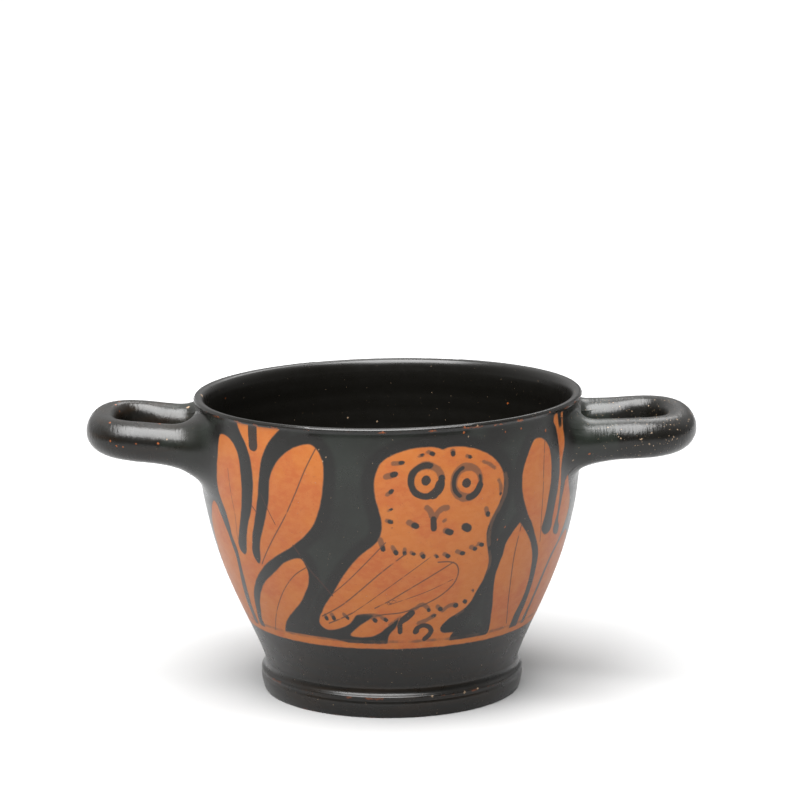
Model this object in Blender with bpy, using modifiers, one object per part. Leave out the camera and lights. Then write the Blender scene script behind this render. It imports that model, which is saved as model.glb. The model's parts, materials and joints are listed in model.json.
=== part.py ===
"""A skyphos: a deep fired-clay drinking cup with a ring foot and two level loop handles.

The bowl is thrown on a wheel, the foot is turned and the handles are rolled and stuck on while the
clay is damp, and everything is fired as one piece. Metres, +Z up. The origin is at the middle of
the foot's underside, on the surface that the cup stands on. The handles lie along X.
"""
import math

import bmesh
import bpy
from mathutils import Vector

# Heights and radii of the bowl, outside
HEIGHT = 0.0800
MOUTH_RADIUS = 0.0510
SHOULDER_RADIUS = 0.0506
NECK_RADIUS = 0.03365
NECK_HEIGHT = 0.0079
FOOT_RADIUS = 0.0349
FOOT_EDGE_HEIGHT = 0.0060
FOOT_BASE_RADIUS = 0.0340

# How the outer wall leaves the foot and reaches the lip: sideways run per unit of height, and how
# far each end's tangent reaches as a share of the wall's height
WALL_FLARE = 0.307
WALL_FLARE_REACH = 0.209
SHOULDER_LEAN = -0.032
SHOULDER_REACH = 0.554

# Thicknesses
WALL_THICKNESS = 0.0030
LIP_THICKNESS = 0.0029
FLOOR_THICKNESS = 0.0042

# The small step under the foot's edge, and the groove under the lip
FOOT_STEP = 0.0004
FOOT_STEP_HEIGHT = 0.0011
LIP_GROOVE_DEPTH = 0.0002
LIP_GROOVE_HEIGHT = 0.0008

# The hollow under the foot
FOOT_HOLLOW = 0.0034
FOOT_REST_WIDTH = 0.0050
FOOT_INNER_SLANT = 0.0026
FOOT_ROUNDING = 0.0006

# The bowl's floor, inside
FLOOR_FLAT_SHARE = 0.62
FLOOR_TURN_HEIGHT = 0.0118
FLOOR_TURN_REACH = 0.0088

# Handles: round rolls bent into level loops, a little thicker round the bend and much thicker
# where they join the wall
HANDLE_THICKNESS = 0.0102
BEND_THICKNESS = 0.0108
HANDLE_REACH = 0.0812
HANDLE_SPREAD = 0.0280
HANDLE_BEND_LENGTH = 0.0125
HANDLE_BEND_SQUARENESS = 2.5
ROOT_LENGTH = 0.0120
ROOT_SPLAY = 0.0012

# Each handle was set by eye: its depth below the lip at the wall, its rise from there to the end
# of the loop, and its thickness at the root
LEFT_HANDLE_DROP = 0.0124
LEFT_HANDLE_RISE = 0.0027
LEFT_ROOT_THICKNESS = 0.0158
RIGHT_HANDLE_DROP = 0.0115
RIGHT_HANDLE_RISE = 0.0012
RIGHT_ROOT_THICKNESS = 0.0146

# Fineness of the faceted surfaces
TURNED_STEPS = 72
WALL_STEPS = 14
FLOOR_STEPS = 7
LIP_STEPS = 6
ARM_STEPS = 9
BEND_STEPS = 16
HANDLE_SIDES_RESOLUTION = 6

MERGE_DISTANCE = 0.00001


def bezier(start, start_pull, end_pull, end, steps):
    """Points of a cubic curve in the plane, both ends included."""
    points = []
    for step in range(steps + 1):
        t = step / steps
        weights = ((1 - t) ** 3, 3 * (1 - t) ** 2 * t, 3 * (1 - t) * t ** 2, t ** 3)
        corners = (start, start_pull, end_pull, end)
        radius = sum(weight * corner[0] for weight, corner in zip(weights, corners))
        height = sum(weight * corner[1] for weight, corner in zip(weights, corners))
        points.append((radius, height))
    return points


def arc(centre, radius, start_degrees, end_degrees, steps):
    """Points of a round stretch in the plane, both ends included."""
    points = []
    for step in range(steps + 1):
        angle = math.radians(start_degrees + (end_degrees - start_degrees) * step / steps)
        points.append((centre[0] + radius * math.cos(angle), centre[1] + radius * math.sin(angle)))
    return points


def lip_centre():
    """Middle of the round lip, as radius and height."""
    return (MOUTH_RADIUS - LIP_THICKNESS / 2, HEIGHT - LIP_THICKNESS / 2)


def wall_top():
    """Height at which the wall meets the groove under the lip."""
    return lip_centre()[1] - LIP_GROOVE_HEIGHT


def outer_wall():
    """The bowl's outer side from the neck above the foot up to the groove under the lip."""
    rise = wall_top() - NECK_HEIGHT
    start = (NECK_RADIUS, NECK_HEIGHT)
    end = (SHOULDER_RADIUS, wall_top())
    start_run = WALL_FLARE_REACH * rise
    end_run = SHOULDER_REACH * rise
    start_pull = (start[0] + WALL_FLARE * start_run, start[1] + start_run)
    end_pull = (end[0] - SHOULDER_LEAN * end_run, end[1] - end_run)
    return bezier(start, start_pull, end_pull, end, WALL_STEPS)


def wall_radius(height):
    """Outer radius of the bowl at a height."""
    points = outer_wall()
    for low, high in zip(points, points[1:]):
        if height <= high[1]:
            share = (height - low[1]) / (high[1] - low[1])
            return low[0] + share * (high[0] - low[0])
    return points[-1][0]


def inner_side():
    """The bowl's inside from the middle of its floor up to the lip."""
    floor_height = FOOT_HOLLOW + FLOOR_THICKNESS
    turn_height = floor_height + FLOOR_TURN_HEIGHT
    wall = [(radius - WALL_THICKNESS, height) for radius, height in outer_wall() if height > turn_height]
    join = wall[0]
    above = wall[1]
    slope = Vector((above[0] - join[0], above[1] - join[1])).normalized()
    floor_middle = (0.0, floor_height)
    floor_pull = (FLOOR_FLAT_SHARE * join[0], floor_height)
    join_pull = (join[0] - slope.x * FLOOR_TURN_REACH, join[1] - slope.y * FLOOR_TURN_REACH)
    return bezier(floor_middle, floor_pull, join_pull, join, FLOOR_STEPS) + wall[1:]


def lip():
    """The round lip from its inner side over the top to its outer side."""
    return arc(lip_centre(), LIP_THICKNESS / 2, 180, 0, LIP_STEPS)


def lip_groove():
    """The shallow groove between the lip and the wall."""
    middle = lip_centre()[1] - LIP_GROOVE_HEIGHT / 2
    return [(SHOULDER_RADIUS - LIP_GROOVE_DEPTH, middle)]


def foot():
    """The ring foot's outer side from the neck down, and its underside in to the middle."""
    step_radius = FOOT_RADIUS - FOOT_STEP
    step_height = FOOT_EDGE_HEIGHT - FOOT_STEP_HEIGHT
    rest_radius = FOOT_BASE_RADIUS - FOOT_ROUNDING
    inner_radius = rest_radius - FOOT_REST_WIDTH
    hollow_radius = inner_radius - FOOT_INNER_SLANT
    ledge_height = (NECK_HEIGHT + FOOT_EDGE_HEIGHT) / 2
    ledge_radius = (NECK_RADIUS + FOOT_RADIUS) / 2
    return [
        (ledge_radius, ledge_height),
        (FOOT_RADIUS, FOOT_EDGE_HEIGHT),
        (step_radius, step_height),
        (step_radius, step_height * 0.6),
        (FOOT_BASE_RADIUS, FOOT_ROUNDING),
        (rest_radius, 0.0),
        (inner_radius, 0.0),
        (hollow_radius, FOOT_HOLLOW),
        (0.0, FOOT_HOLLOW),
    ]


def vessel_profile():
    """The whole turned outline: up the inside, over the lip, down the outside and under the foot."""
    outside = list(reversed(outer_wall()))
    return inner_side() + lip() + lip_groove() + outside + foot()


def core_profile():
    """A body that ends halfway through the wall, which trims the handles' inner ends."""
    inset = WALL_THICKNESS / 2
    outside = [(radius - inset, height) for radius, height in reversed(outer_wall())]
    top = (0.0, outside[0][1])
    bottom = (0.0, outside[-1][1])
    return [top] + outside + [bottom]


def turned(name, profile, collection):
    """An object turned about Z from a profile that runs down its outer side at +X."""
    mesh = bpy.data.meshes.new(name)
    vertices = [(radius, 0.0, height) for radius, height in profile]
    edges = [(index, index + 1) for index in range(len(vertices) - 1)]
    mesh.from_pydata(vertices, edges, [])
    body = bpy.data.objects.new(name, mesh)
    collection.objects.link(body)
    screw = body.modifiers.new("turn", 'SCREW')
    screw.axis = 'Z'
    screw.angle = math.tau
    screw.steps = TURNED_STEPS
    screw.render_steps = TURNED_STEPS
    screw.use_merge_vertices = True
    screw.merge_threshold = MERGE_DISTANCE
    screw.use_smooth_shade = True
    return body


def root_share(distance):
    """How much of the thickening at the root is felt at a distance from the wall: 1 to 0."""
    return max(0.0, 1.0 - max(0.0, distance) / ROOT_LENGTH) ** 2


def loop_outline(wall):
    """The roll's middle line in plan, along +X, from one root round the bend to the other."""
    half_spread = HANDLE_SPREAD / 2
    arm_start = wall - 3 * WALL_THICKNESS
    bend_start = HANDLE_REACH - BEND_THICKNESS / 2 - HANDLE_BEND_LENGTH
    arm = []
    for step in range(ARM_STEPS):
        x = arm_start + (bend_start - arm_start) * step / ARM_STEPS
        arm.append((x, -half_spread - ROOT_SPLAY * root_share(x - wall)))
    bend = []
    power = 2 / HANDLE_BEND_SQUARENESS
    for step in range(BEND_STEPS + 1):
        angle = math.pi * (step / BEND_STEPS - 0.5)
        x = bend_start + HANDLE_BEND_LENGTH * max(0.0, math.cos(angle)) ** power
        y = half_spread * math.copysign(abs(math.sin(angle)) ** power, angle)
        bend.append((x, y))
    other_arm = [(x, -y) for x, y in reversed(arm)]
    return arm + bend + other_arm


def roll_thickness(x, wall, root_thickness):
    """Thickness of the roll at a distance along X."""
    root = (root_thickness - HANDLE_THICKNESS) * root_share(x - wall)
    bend_share = (x - wall) / (HANDLE_REACH - BEND_THICKNESS / 2 - wall)
    bend = (BEND_THICKNESS - HANDLE_THICKNESS) * max(0.0, bend_share) ** 3
    return HANDLE_THICKNESS + root + bend


def handle(name, side, drop, rise, root_thickness, collection):
    """One loop handle as a mesh, side being +1 at +X and -1 at -X."""
    root_height = HEIGHT - drop
    wall = wall_radius(root_height)
    outline = loop_outline(wall)
    curve = bpy.data.curves.new(name, 'CURVE')
    curve.dimensions = '3D'
    curve.bevel_depth = HANDLE_THICKNESS / 2
    curve.bevel_resolution = HANDLE_SIDES_RESOLUTION
    curve.use_fill_caps = True
    spline = curve.splines.new('POLY')
    spline.points.add(len(outline) - 1)
    for point, (x, y) in zip(spline.points, outline):
        height = root_height + rise * (x - wall) / (HANDLE_REACH - wall)
        point.co = (side * x, side * y, height, 1.0)
        point.radius = roll_thickness(x, wall, root_thickness) / HANDLE_THICKNESS
    tube = bpy.data.objects.new(name + "_line", curve)
    collection.objects.link(tube)
    evaluated = tube.evaluated_get(bpy.context.evaluated_depsgraph_get())
    mesh = bpy.data.meshes.new_from_object(evaluated)
    shape = bmesh.new()
    shape.from_mesh(mesh)
    bmesh.ops.remove_doubles(shape, verts=shape.verts, dist=MERGE_DISTANCE)
    bmesh.ops.recalc_face_normals(shape, faces=shape.faces)
    shape.to_mesh(mesh)
    shape.free()
    body = bpy.data.objects.new(name, mesh)
    body.matrix_world = tube.matrix_world
    bpy.data.objects.remove(tube)
    collection.objects.link(body)
    return body


def boolean(body, operation, other):
    """Cut or join a body with another one, which stays as a guide."""
    modifier = body.modifiers.new(other.name, 'BOOLEAN')
    modifier.operation = operation
    modifier.solver = 'EXACT'
    modifier.object = other


def as_guide(body):
    """Mark a body as a working shape that isn't part of the object."""
    body.hide_render = True
    body.display_type = 'WIRE'


def glazed_clay():
    """Black gloss over orange clay."""
    material = bpy.data.materials.new("black_gloss")
    material.use_nodes = True
    shader = material.node_tree.nodes["Principled BSDF"]
    shader.inputs["Base Color"].default_value = (0.020, 0.020, 0.018, 1.0)
    shader.inputs["Roughness"].default_value = 0.3
    shader.inputs["Metallic"].default_value = 0.0
    return material


def new_collection(name):
    """A collection in the scene."""
    collection = bpy.data.collections.new(name)
    bpy.context.scene.collection.children.link(collection)
    return collection


def build():
    """Make the cup."""
    for old in list(bpy.data.objects):
        bpy.data.objects.remove(old)
    cup = new_collection("skyphos")
    guides = new_collection("guides")

    core = turned("wall_core", core_profile(), guides)
    left = handle("left_handle", -1, LEFT_HANDLE_DROP, LEFT_HANDLE_RISE, LEFT_ROOT_THICKNESS, guides)
    right = handle("right_handle", 1, RIGHT_HANDLE_DROP, RIGHT_HANDLE_RISE, RIGHT_ROOT_THICKNESS, guides)
    vessel = turned("skyphos", vessel_profile(), cup)
    for loop in (left, right):
        boolean(loop, 'DIFFERENCE', core)
        boolean(vessel, 'UNION', loop)
    for guide in (core, left, right):
        as_guide(guide)
    vessel.data.materials.append(glazed_clay())


build()
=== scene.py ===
"""The looks of a painted skyphos, a deep fired-clay cup with two level loop handles.

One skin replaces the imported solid: the bowl, foot, lip and handles as a fine mesh. Its sizes are in
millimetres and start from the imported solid's box. The picture is drawn on the wall in wall
coordinates: "around" runs along the wall from the middle of the front towards +X, and "height" runs
up. Each vertex carries its distance to the edge of the painted shapes, and the material turns those
distances into clay, thinned gloss and black gloss.
"""
import json
import math
from collections import namedtuple

import bpy
import numpy as np
from mathutils import Matrix, Vector

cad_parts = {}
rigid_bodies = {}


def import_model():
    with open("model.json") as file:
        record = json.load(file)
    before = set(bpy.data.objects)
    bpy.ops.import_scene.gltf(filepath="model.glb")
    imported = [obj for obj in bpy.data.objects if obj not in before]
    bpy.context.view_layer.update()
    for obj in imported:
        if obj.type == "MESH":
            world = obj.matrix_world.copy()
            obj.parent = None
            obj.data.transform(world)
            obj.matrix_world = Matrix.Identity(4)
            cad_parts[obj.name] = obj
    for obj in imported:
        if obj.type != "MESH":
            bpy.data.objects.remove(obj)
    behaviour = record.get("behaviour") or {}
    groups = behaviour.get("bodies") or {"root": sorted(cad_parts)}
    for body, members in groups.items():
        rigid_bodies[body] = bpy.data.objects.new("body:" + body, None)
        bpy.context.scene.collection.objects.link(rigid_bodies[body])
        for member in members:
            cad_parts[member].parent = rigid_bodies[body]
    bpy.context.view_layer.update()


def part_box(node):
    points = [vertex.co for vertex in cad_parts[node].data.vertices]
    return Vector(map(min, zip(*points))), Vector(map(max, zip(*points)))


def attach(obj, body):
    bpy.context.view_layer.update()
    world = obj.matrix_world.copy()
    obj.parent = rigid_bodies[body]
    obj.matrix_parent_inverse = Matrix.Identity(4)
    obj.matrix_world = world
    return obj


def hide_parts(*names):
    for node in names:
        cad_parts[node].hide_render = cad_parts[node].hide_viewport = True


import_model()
_, cup_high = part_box("skyphos")

MM = 0.001

# Driving sizes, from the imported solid
HEIGHT = cup_high.z / MM
MOUTH_RADIUS = cup_high.y / MM
HANDLE_REACH = cup_high.x / MM

# Outer wall of the bowl: radius and height at both ends, and how its curve leaves them
NECK_RADIUS = 33.65
NECK_HEIGHT = 7.9
WALL_TOP = 77.6
SHOULDER_RADIUS = MOUTH_RADIUS - 0.4
WALL_FLARE = 0.307
WALL_FLARE_RUN = 14.6
SHOULDER_LEAN = -0.050
SHOULDER_RUN = 38.6
WALL_CURVE_STEPS = 240
WALL_THICKNESS = 3.0

# The rim isn't quite level: it rises towards +X and sits a little to one side of the foot
RIM_MIDDLE = HEIGHT - 0.5
RIM_TILT = 0.0094
RIM_SHIFT = -0.35
BASE_SHIFT = 0.12
RIM_OVAL = 0.005
RIM_TILT_START = 45.0

# The lip: how far in from the mouth's radius, and height against the rim's
LIP_POINTS = [
    (0.42, -1.95), (0.50, -1.45), (0.52, -1.18), (0.22, -1.02), (0.03, -0.80), (0.02, -0.50),
    (0.22, -0.20), (0.65, -0.04), (1.20, 0.0), (1.75, -0.12), (2.22, -0.42), (2.56, -0.95),
    (2.80, -1.65), (2.98, -2.50), (3.15, -3.40),
]

# The foot's side from the resting ring up to the neck: radius and height
FOOT_POINTS = [
    (33.75, 0.0), (34.05, 0.10), (34.28, 0.55), (34.56, 1.50), (34.80, 2.60), (34.90, 3.45),
    (34.88, 4.05), (34.72, 4.50), (34.70, 4.78), (34.84, 5.10), (34.90, 5.45), (34.80, 5.74),
    (34.52, 5.98), (34.22, 6.24), (34.00, 6.62), (33.84, 7.10), (33.74, 7.50), (33.66, 7.90),
]

# The underside from near its middle out to the resting ring: radius and height
UNDER_HEIGHT = 3.4
UNDER_POINTS = [
    (2.0, UNDER_HEIGHT), (9.0, UNDER_HEIGHT), (18.0, 3.38), (24.2, 3.36), (25.6, 3.20), (26.4, 2.55),
    (27.4, 1.00), (27.9, 0.28), (28.5, 0.0), (30.0, 0.0), (32.0, 0.0), (33.75, 0.0),
]

# The bowl's floor inside
FLOOR_HEIGHT = 7.6
FLOOR_JOIN_HEIGHT = 19.4
FLOOR_JOIN_REACH = 8.8
FLOOR_FLAT_SHARE = 0.62
FLOOR_MIDDLE_RADIUS = 2.0
FLOOR_CURVE_STEPS = 40

# Marks of the wheel inside the bowl
THROWING_DEPTH = 0.07
THROWING_PITCH = 4.6

# Slow unevenness of the wall: its depth, the heights between which it is full, and its waves as size,
# count round the cup, the height in which each turns by a radian, and start
WALL_UNEVENNESS = 0.04
UNEVEN_FULL_FROM = 30.0
UNEVEN_FULL_TO = 66.0
WALL_WAVES = [(1.0, 2, math.inf, 0.7), (0.6, 3, 17.0, 2.1), (0.5, 5, -9.0, 0.0)]

# Handles: round rolls bent into level loops. Each has its side, its reach from the cup's middle, its
# depth below the rim at the wall, how far it rises to the loop's end and how much more the far arm
# does, its thickness at the root, along the arms and at the bend, the distance between its arms, the
# length and squareness of the bend, and how far the fillet reaches from the corner at the wall.
Handle = namedtuple(
    "Handle", "side reach drop rise far_rise root arm bend spread bend_length squareness join"
)
HANDLES = [
    Handle(
        side=-1, reach=HANDLE_REACH - 1.5, drop=12.15, rise=2.5, far_rise=1.2, root=12.4, arm=10.7,
        bend=9.2, spread=26.4, bend_length=12.5, squareness=2.75, join=7.5,
    ),
    Handle(
        side=1, reach=HANDLE_REACH - 0.06, drop=11.25, rise=0.6, far_rise=1.7, root=12.2, arm=10.65,
        bend=10.0, spread=27.2, bend_length=13.0, squareness=2.35, join=5.0,
    ),
]
ROOT_LENGTH = 12.0
ROOT_SPLAY = 1.2
ROOT_REACH_INSIDE = 9.0

# The rolls' waviness: its depth, and the lengths in which its two waves turn by a radian
HANDLE_WAVINESS = 0.12
SHORT_WAVE = 5.1
LONG_WAVE = 8.3

# The loops' inner side is flatter: how much of the roll's radius is missing along the arms and at the
# bend, how rounded that side is, and how far from the fillet it takes to get so
ARM_FLATNESS = 0.14
BEND_FLATNESS = 0.30
INNER_ROUNDNESS = 0.70
INNER_FADE = 8.0

# Near the lip the fillet dies out: the share of its reach that is left, the height where it gets to
# that share, and the height over which it does
JOIN_AT_LIP = 0.10
JOIN_FADE_TOP = 79.4
JOIN_FADE_LENGTH = 5.0

# The opening in the wall that a fillet fills, and how far from the wall the plain roll starts
JOIN_HALF_WIDTH = 12.5
JOIN_BELOW = 13.0
ROLL_START = 8.8

# How points settle onto the joined surface: in how many rounds, with which step the slope is felt,
# and the least steepness that it is taken to have
SETTLE_ROUNDS = 7
PROBE = 0.01
LEAST_STEEPNESS = 0.05

# The wall is raised to meet a fillet only beyond these distances from the middle plane, from the
# middle line and from the foot, and only where it lies this deep below the fillet or nearer to its
# own surface than the shell's depth
RAISED_BEYOND = 20.0
RAISED_OUTSIDE = 40.0
RAISED_ABOVE = 40.0
COVERED_DEPTH = 0.001
SHELL_DEPTH = 0.6

# The painted part of the wall: the heights of its lower and upper edge, and of the end of the paint
# under the lip
PICTURE_BOTTOM = 18.6
PICTURE_TOP = 77.0
PICTURE_END = 78.4

# Fineness of the skin: columns round the cup, how much they crowd at the front, and steps between rings
PICTURE_COLUMNS = 540
LIP_COLUMNS = 360
PLAIN_COLUMNS = 216
CROWDING = 0.2
PICTURE_STEP = 0.60
PLAIN_STEP = 1.4
LIP_STEP = 0.42
FOOT_STEP = 0.32

# Fineness of the handles. A fillet's rings have the roll's count of points a little before its end.
TUBE_SIDES = 56
TUBE_STEP = 0.62
ARM_POINTS = 60
BEND_POINTS = 181
JOIN_RINGS = 15
JOIN_COUNT_LEAD = 1.15

# Turns that are closer than this count as the same
SAME_TURN = 1e-6

# One unit of "around" is one millimetre at this radius
AROUND_RADIUS = 46.0


# Curves

def spline(points, closed=False, cuts=6):
    """A smooth curve through points. A point that is given twice is a corner."""
    knots = np.array(points, float)
    if closed:
        knots = np.vstack([knots[-1:], knots, knots[:2]])
    else:
        knots = np.vstack([knots[:1], knots, knots[-1:]])
    t = np.linspace(0, 1, cuts, endpoint=False)[:, None]
    pieces = []
    for before, start, end, after in zip(knots, knots[1:], knots[2:], knots[3:]):
        if np.allclose(start, end):
            continue
        start_pull = (end - before) / 2
        end_pull = (after - start) / 2
        pieces.append(
            start * (2 * t ** 3 - 3 * t ** 2 + 1) + start_pull * (t ** 3 - 2 * t ** 2 + t)
            + end * (3 * t ** 2 - 2 * t ** 3) + end_pull * (t ** 3 - t ** 2)
        )
    if not closed:
        pieces.append(knots[-1:])
    return np.vstack(pieces)


def bezier(start, start_pull, end_pull, end, steps):
    """Points of a cubic curve, both ends included."""
    t = np.linspace(0, 1, steps + 1)[:, None]
    return (
        (1 - t) ** 3 * np.array(start) + 3 * (1 - t) ** 2 * t * np.array(start_pull)
        + 3 * (1 - t) * t ** 2 * np.array(end_pull) + t ** 3 * np.array(end)
    )


def spaced(path, step):
    """The path with points at even distances, both ends included."""
    lengths = np.linalg.norm(np.diff(path, axis=0), axis=1)
    along = np.concatenate([[0], np.cumsum(lengths)])
    count = max(1, round(along[-1] / step))
    places = np.linspace(0, along[-1], count + 1)
    return np.stack([np.interp(places, along, column) for column in path.T], axis=1)


def smooth_step(low, high, value):
    """0 below low, 1 above high and a smooth rise between."""
    t = np.clip((value - low) / (high - low), 0, 1)
    return t * t * (3 - 2 * t)


# The bowl's shape

WALL_CURVE = bezier(
    (NECK_RADIUS, NECK_HEIGHT),
    (NECK_RADIUS + WALL_FLARE * WALL_FLARE_RUN, NECK_HEIGHT + WALL_FLARE_RUN),
    (SHOULDER_RADIUS - SHOULDER_LEAN * SHOULDER_RUN, WALL_TOP - SHOULDER_RUN),
    (SHOULDER_RADIUS, WALL_TOP),
    WALL_CURVE_STEPS,
)


def wall_radius(height):
    """Outer radius of the bowl at a height."""
    return np.interp(height, WALL_CURVE[:, 1], WALL_CURVE[:, 0])


def inner_floor():
    """The inside from the wall down to near the middle of the floor."""
    join_radius = wall_radius(FLOOR_JOIN_HEIGHT) - WALL_THICKNESS
    above_radius = wall_radius(FLOOR_JOIN_HEIGHT + 1) - WALL_THICKNESS
    slope = np.array([above_radius - join_radius, 1.0])
    slope /= np.linalg.norm(slope)
    join = np.array([join_radius, FLOOR_JOIN_HEIGHT])
    floor_pull = (FLOOR_FLAT_SHARE * join_radius, FLOOR_HEIGHT)
    middle = (FLOOR_MIDDLE_RADIUS, FLOOR_HEIGHT)
    return bezier(join, join - slope * FLOOR_JOIN_REACH, floor_pull, middle, FLOOR_CURVE_STEPS)


def uneven(theta, radius, height):
    """Radius with the slow unevenness that hands leave, only ever inwards."""
    full = sum(size for size, *_ in WALL_WAVES)
    waves = sum(
        size * np.sin(count * theta + height / length + start)
        for size, count, length, start in WALL_WAVES
    )
    felt = smooth_step(NECK_HEIGHT, UNEVEN_FULL_FROM, height)
    felt = felt * (1 - smooth_step(UNEVEN_FULL_TO, WALL_TOP, height))
    return radius - WALL_UNEVENNESS * felt * (waves + full) / (2 * full)


def turned_points(theta, radius, height):
    """Points on the wheel-turned body, with the rim's tilt."""
    rounded = uneven(theta, radius, height)
    x = rounded * np.sin(theta)
    y = -rounded * np.cos(theta)
    share = smooth_step(RIM_TILT_START, RIM_MIDDLE, height)
    x = x * (1 + RIM_OVAL * share) + BASE_SHIFT + (RIM_SHIFT - BASE_SHIFT) * share
    return np.stack([x, y, height + RIM_TILT * share * x], axis=-1)


def straightened(points):
    """Points without the rim's tilt, shift and oval: x, y and height."""
    share = smooth_step(RIM_TILT_START, RIM_MIDDLE, points[:, 2])
    height = points[:, 2] - RIM_TILT * share * points[:, 0]
    x = (points[:, 0] - BASE_SHIFT - (RIM_SHIFT - BASE_SHIFT) * share) / (1 + RIM_OVAL * share)
    return x, points[:, 1], height


# The handles' shape

def root_share(distance):
    """How much of the thickening at the root is felt at a distance from the wall: 1 to 0."""
    return np.clip(1 - np.maximum(0, distance) / ROOT_LENGTH, 0, 1) ** 2


def handle_line(handle):
    """Points along the roll's middle line from the front root to the back one, and its radii."""
    wall = wall_radius(HEIGHT - handle.drop)
    half_spread = handle.spread / 2
    bend_start = handle.reach - handle.bend / 2 - handle.bend_length
    arm_x = np.linspace(wall - ROOT_REACH_INSIDE, bend_start, ARM_POINTS, endpoint=False)
    arm_y = -half_spread - ROOT_SPLAY * root_share(arm_x - wall)
    power = 2 / handle.squareness
    angle = np.linspace(-math.pi / 2, math.pi / 2, BEND_POINTS)
    bend_x = bend_start + handle.bend_length * np.maximum(0, np.cos(angle)) ** power
    bend_y = half_spread * np.sign(np.sin(angle)) * np.abs(np.sin(angle)) ** power
    x = np.concatenate([arm_x, bend_x, arm_x[::-1]])
    y = np.concatenate([arm_y, bend_y, -arm_y[::-1]])
    plan = spaced(np.stack([x, y], axis=1), TUBE_STEP)
    x, y = plan.T
    outward = (x - wall) / (handle.reach - wall)
    far = smooth_step(-half_spread, half_spread, y) * np.clip(outward, 0, 1)
    thickening = (handle.root - handle.arm) * root_share(x - wall)
    z = HEIGHT - handle.drop + handle.rise * outward + handle.far_rise * far - thickening / 4
    thickness = handle.arm + thickening
    thickness = thickness + (handle.bend - handle.arm) * np.maximum(0, outward) ** 3
    steps = np.arange(len(x)) * TUBE_STEP
    waves = np.sin(steps / SHORT_WAVE + handle.side) + np.sin(steps / LONG_WAVE + 2 * handle.side)
    radii = thickness / 2 - HANDLE_WAVINESS * (1 + waves / 2) / 2
    return np.stack([handle.side * x, y, z], axis=1), radii


Arm = namedtuple("Arm", "line radii join")


def roll_gap(points, line, radii):
    """Distance from points to the surface of a stretch of the roll."""
    squares = ((points[:, None, :] - line[None, :, :]) ** 2).sum(axis=2)
    nearest = np.clip(squares.argmin(axis=1), 1, len(line) - 2)
    rows = np.arange(len(points))
    before = squares[rows, nearest - 1]
    here = squares[rows, nearest]
    after = squares[rows, nearest + 1]
    shift = np.clip((before - after) / (2 * (before - 2 * here + after)), -1, 1)
    square = here - (before - after) * shift / 4
    radius = np.interp(nearest + shift, np.arange(len(line)), radii)
    return np.sqrt(np.maximum(square, 0)) - radius


def wall_gap(points):
    """Distance from points to the bowl's outer wall."""
    x, y, height = straightened(points)
    radius = uneven(np.arctan2(x, -y), wall_radius(height), height)
    # Over one millimetre of height, so that the difference is the slope
    slope = wall_radius(height + 0.5) - wall_radius(height - 0.5)
    return (np.hypot(x, y) - radius) / np.sqrt(1 + slope ** 2)


def soft_join(first, second, reach):
    """The smaller of two distances, rounded where they are nearly equal."""
    closeness = np.clip(reach - np.abs(first - second), 0, None) / reach
    return np.minimum(first, second) - closeness ** 2 * reach / 4


def handle_arms(handle):
    """The front and the back arm of a handle."""
    line, radii = handle_line(handle)
    half = len(line) // 2
    return [Arm(line[:half], radii[:half], handle.join), Arm(line[half:], radii[half:], handle.join)]


def body_gap(points, arms):
    """Distance from points to the wall and the two arms of a handle, joined softly."""
    fade = smooth_step(0, JOIN_FADE_LENGTH, JOIN_FADE_TOP - points[:, 2])
    gap = wall_gap(points)
    for arm in arms:
        reach = arm.join * (JOIN_AT_LIP + (1 - JOIN_AT_LIP) * fade)
        gap = soft_join(gap, roll_gap(points, arm.line, arm.radii), reach)
    return gap


def settle(points, arms):
    """Move points onto the softly joined surface."""
    for _ in range(SETTLE_ROUNDS):
        gap = body_gap(points, arms)
        slope = np.empty_like(points)
        for axis in range(3):
            offset = np.zeros(3)
            offset[axis] = PROBE
            slope[:, axis] = (body_gap(points + offset, arms) - gap) / PROBE
        steepness = (slope ** 2).sum(axis=1, keepdims=True)
        points = points - gap[:, None] * slope / np.maximum(steepness, LEAST_STEEPNESS)
    return points


# The skin, built ring by ring. A ring knows its vertices, its turns (angles once round, rising)
# and how far across its UV chart it lies.
Ring = namedtuple("Ring", "ids turns across")


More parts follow.
